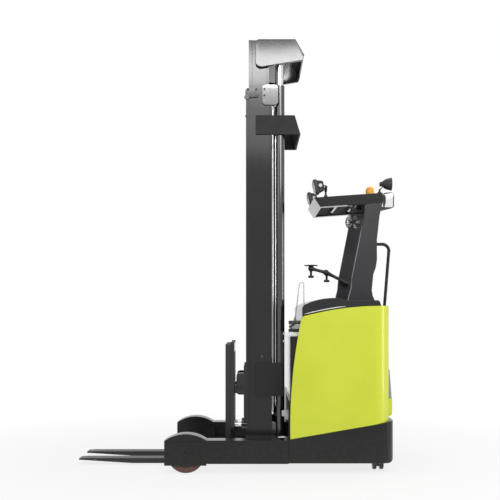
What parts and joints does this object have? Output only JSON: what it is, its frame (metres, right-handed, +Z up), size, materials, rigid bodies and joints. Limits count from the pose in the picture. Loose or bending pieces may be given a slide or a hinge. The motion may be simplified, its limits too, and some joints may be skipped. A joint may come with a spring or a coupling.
{
  "type": "reach truck",
  "caption": "Stand-on reach truck with lime side panels, straddle legs, a reaching telescopic mast, tilting forks, an overhead guard and a rear-entry operator compartment.",
  "frame": {"origin": "middle of the footprint's bounding box, on the floor", "axes": "+X towards the truck's rear, -X along the forks, -Y to the truck's left side, +Z up"},
  "size_m": [2.454, 1.27, 3.305],
  "materials": {
    "lime_paint": "gloss lime paint",
    "body_black": "semi-gloss black paint",
    "mast_black": "semi-gloss black paint",
    "hood_plastic": "grained black plastic",
    "trim_grey": "light grey strip",
    "pad_grey": "grey rubber edge pad",
    "battery_grey": "light grey powder coat",
    "bright_steel": "machined steel",
    "rod_chrome": "hard chrome",
    "chain_steel": "oiled chain steel",
    "black_rubber": "black rubber",
    "black_plastic": "moulded black plastic",
    "wheel_polyurethane": "brown polyurethane",
    "caster_tread": "black polyurethane",
    "hub_iron": "cast iron",
    "fork_steel": "black enamel",
    "lamp_glass": "clear lens",
    "amber_lens": "amber lens",
    "mirror_face": "silvered glass"
  },
  "bodies": {
    "chassis": {"chassis_frame": "body_black", "straddle_legs": "body_black", "wheel_guards": "body_black", "load_axles": "body_black", "side_panel_left": "lime_paint", "side_panel_right": "lime_paint", "hood": "hood_plastic", "hood_trim": "trim_grey", "rear_pads": "pad_grey", "battery": "battery_grey", "battery_connector": "black_plastic", "cable_loop": "bright_steel", "compartment_walls": "hood_plastic", "operator_floor": "body_black", "floor_mat": "black_rubber", "guard_columns": "mast_black", "overhead_guard": "body_black", "grab_rail": "body_black", "work_lamps": "black_plastic", "lamp_lenses": "lamp_glass", "beacon_base": "black_plastic", "beacon_dome": "amber_lens", "mirror_housing": "black_plastic", "mirror_glass": "mirror_face", "fan_cage": "black_plastic", "terminal_arm": "body_black", "control_levers": "black_plastic", "reach_barrel": "mast_black"},
    "mast_outer": {"reach_carriage": "mast_black", "outer_mast": "mast_black", "outer_yoke": "mast_black", "lift_barrels": "mast_black", "mast_side_covers": "mast_black", "reach_rod": "rod_chrome"},
    "mast_middle": {"middle_mast": "mast_black", "mast_shroud": "mast_black", "lift_rods": "rod_chrome"},
    "mast_inner": {"inner_mast": "mast_black", "free_lift_barrel": "mast_black"},
    "crosshead": {"chain_crosshead": "bright_steel", "chain_front_runs": "chain_steel", "chain_rear_runs": "chain_steel"},
    "carriage": {"lift_carriage": "mast_black", "tilt_barrels": "mast_black"},
    "tilt_rams": {"tilt_rods": "rod_chrome"},
    "fork_carriage": {"fork_frame": "mast_black", "forks": "fork_steel"},
    "load_wheel_left": {"load_hub_left": "hub_iron", "load_tyre_left": "wheel_polyurethane"},
    "load_wheel_right": {"load_hub_right": "hub_iron", "load_tyre_right": "wheel_polyurethane"},
    "drive_unit": {"drive_turret": "mast_black"},
    "drive_wheel": {"drive_hub": "hub_iron", "drive_tyre": "wheel_polyurethane"},
    "caster": {"caster_fork": "mast_black"},
    "caster_wheel": {"caster_wheels": "caster_tread"},
    "steering": {"steering_wheel": "black_rubber"},
    "fan": {"fan_rotor": "black_plastic"}
  },
  "joints": [
    {"name": "reach", "type": "slide", "parent": "chassis", "child": "mast_outer", "axis": [-1, 0, 0], "range_m": [0, 0.56]},
    {"name": "mast_lift", "type": "slide", "parent": "mast_outer", "child": "mast_middle", "axis": [0, 0, 1], "range_m": [0, 2.1]},
    {"name": "inner_lift", "type": "slide", "parent": "mast_middle", "child": "mast_inner", "axis": [0, 0, 1], "range_m": [0, 2.1]},
    {"name": "free_lift", "type": "slide", "parent": "mast_inner", "child": "crosshead", "axis": [0, 0, 1], "range_m": [0, 1.04], "deforming": ["chain_rear_runs"]},
    {"name": "carriage_lift", "type": "slide", "parent": "crosshead", "child": "carriage", "axis": [0, 0, 1], "range_m": [0, 1.04], "deforming": ["chain_front_runs"]},
    {"name": "fork_tilt", "type": "hinge", "parent": "carriage", "child": "fork_carriage", "pos_m": [0.034, 0, 0.605], "axis": [0, -1, 0], "range_deg": [-4, 2]},
    {"name": "tilt_ram", "type": "slide", "parent": "carriage", "child": "tilt_rams", "axis": [1, 0, 0], "range_m": [-0.0215, 0.0108]},
    {"name": "load_wheel_left_spin", "type": "hinge", "parent": "chassis", "child": "load_wheel_left", "pos_m": [-0.359, -0.5665, 0.14], "axis": [0, 1, 0], "continuous": true},
    {"name": "load_wheel_right_spin", "type": "hinge", "parent": "chassis", "child": "load_wheel_right", "pos_m": [-0.359, 0.5665, 0.14], "axis": [0, 1, 0], "continuous": true},
    {"name": "drive_steer", "type": "hinge", "parent": "chassis", "child": "drive_unit", "pos_m": [0.885, 0.452, 0.15], "axis": [0, 0, 1], "range_deg": [-90, 90]},
    {"name": "drive_wheel_spin", "type": "hinge", "parent": "drive_unit", "child": "drive_wheel", "pos_m": [0.885, 0.452, 0.15], "axis": [0, 1, 0], "continuous": true},
    {"name": "caster_swivel", "type": "hinge", "parent": "chassis", "child": "caster", "pos_m": [1.09, -0.416, 0.1], "axis": [0, 0, 1], "continuous": true},
    {"name": "caster_wheel_spin", "type": "hinge", "parent": "caster", "child": "caster_wheel", "pos_m": [1.09, -0.431, 0.055], "axis": [1, 0, 0], "continuous": true},
    {"name": "steering_turn", "type": "hinge", "parent": "chassis", "child": "steering", "pos_m": [0.848, -0.13, 1.132], "axis": [0.5547, 0, 0.8321], "range_deg": [-360, 360]},
    {"name": "fan_spin", "type": "hinge", "parent": "chassis", "child": "fan", "pos_m": [0.94567, -0.06, 1.918], "axis": [0, 1, 0], "continuous": true}
  ],
  "couplings": [
    {"joint": "inner_lift", "follows": "mast_lift", "ratio": 1},
    {"joint": "carriage_lift", "follows": "free_lift", "ratio": 1},
    {"joint": "tilt_ram", "follows": "fork_tilt", "m_per_rad": 0.305},
    {"joint": "steering_turn", "follows": "drive_steer", "ratio": 4}
  ]
}
